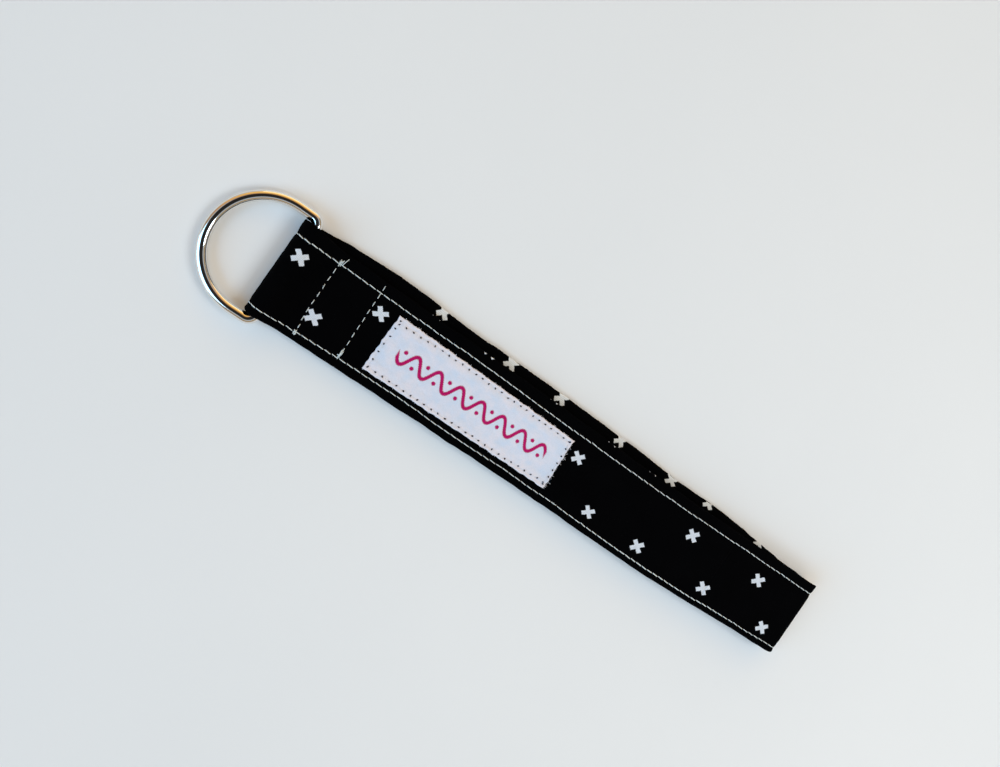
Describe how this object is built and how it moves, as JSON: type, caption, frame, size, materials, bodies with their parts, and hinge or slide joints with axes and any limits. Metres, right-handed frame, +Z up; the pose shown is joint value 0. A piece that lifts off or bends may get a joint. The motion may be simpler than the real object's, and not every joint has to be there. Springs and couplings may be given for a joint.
{
  "type": "wristlet keychain",
  "caption": "Flat folded cotton wrist strap sewn into a loop, with a woven label on its upper run and a wire D-ring held in its nose by stitching across the strap.",
  "frame": {"origin": "middle of the footprint, on the surface that the strap lies on", "axes": "+X along the strap from the ring to the loop end, +Y across it towards its open folded edge, +Z up through the flattened loop"},
  "size_m": [0.2022, 0.032, 0.0064],
  "materials": {
    "ring_metal": "bright nickel plating on round steel wire",
    "strap_cloth": "matt black printed cotton, plain weave, with small white crosses",
    "stiffener": "white fusible interfacing",
    "thread": "off-white polyester sewing thread",
    "label_weave": "pale lilac-white woven satin with a woven magenta motif",
    "label_thread": "dark fine sewing thread, sunk in small holes"
  },
  "bodies": {
    "strap_base": {"strap_nose": "strap_cloth", "strap_sewn_upper": "strap_cloth", "strap_lower_front": "strap_cloth", "stiffener_front": "stiffener", "topstitch_open_front": "thread", "topstitch_closed_front": "thread", "cross_stitch_front": "thread", "cross_stitch_rear": "thread", "seam_allowance": "strap_cloth", "seam_stitch": "thread"},
    "ring": {"d_ring": "ring_metal"},
    "lower_rear": {"strap_lower_rear": "strap_cloth", "stiffener_lower_rear": "stiffener", "topstitch_open_lower_rear": "thread", "topstitch_closed_lower_rear": "thread"},
    "upper_rear": {"strap_upper_rear": "strap_cloth", "strap_loop_end": "strap_cloth", "stiffener_upper_rear": "stiffener", "topstitch_open_upper_rear": "thread", "topstitch_closed_upper_rear": "thread"},
    "upper_front": {"strap_upper_front": "strap_cloth", "stiffener_upper_front": "stiffener", "topstitch_open_upper_front": "thread", "topstitch_closed_upper_front": "thread", "label": "label_weave", "label_stitch": "label_thread"}
  },
  "joints": [
    {"name": "ring_swing", "type": "hinge", "parent": "strap_base", "child": "ring", "pos_m": [-0.07979, 0, 0.0031], "axis": [0, 1, 0], "range_deg": [-130, 176]},
    {"name": "loop_open", "type": "hinge", "parent": "strap_base", "child": "lower_rear", "pos_m": [0.01121, 0, 0.0015], "axis": [0, -1, 0], "range_deg": [0, 60]},
    {"name": "loop_end_fold", "type": "hinge", "parent": "lower_rear", "child": "upper_rear", "pos_m": [0.09791, 0, 0], "axis": [0, 1, 0], "range_deg": [0, 60]},
    {"name": "upper_bend", "type": "hinge", "parent": "upper_rear", "child": "upper_front", "pos_m": [0.02911, 0, 0.0019], "axis": [0, -1, 0], "range_deg": [0, 60]}
  ],
  "couplings": [
    {"joint": "loop_end_fold", "follows": "loop_open", "ratio": 1},
    {"joint": "upper_bend", "follows": "loop_open", "ratio": 1}
  ]
}
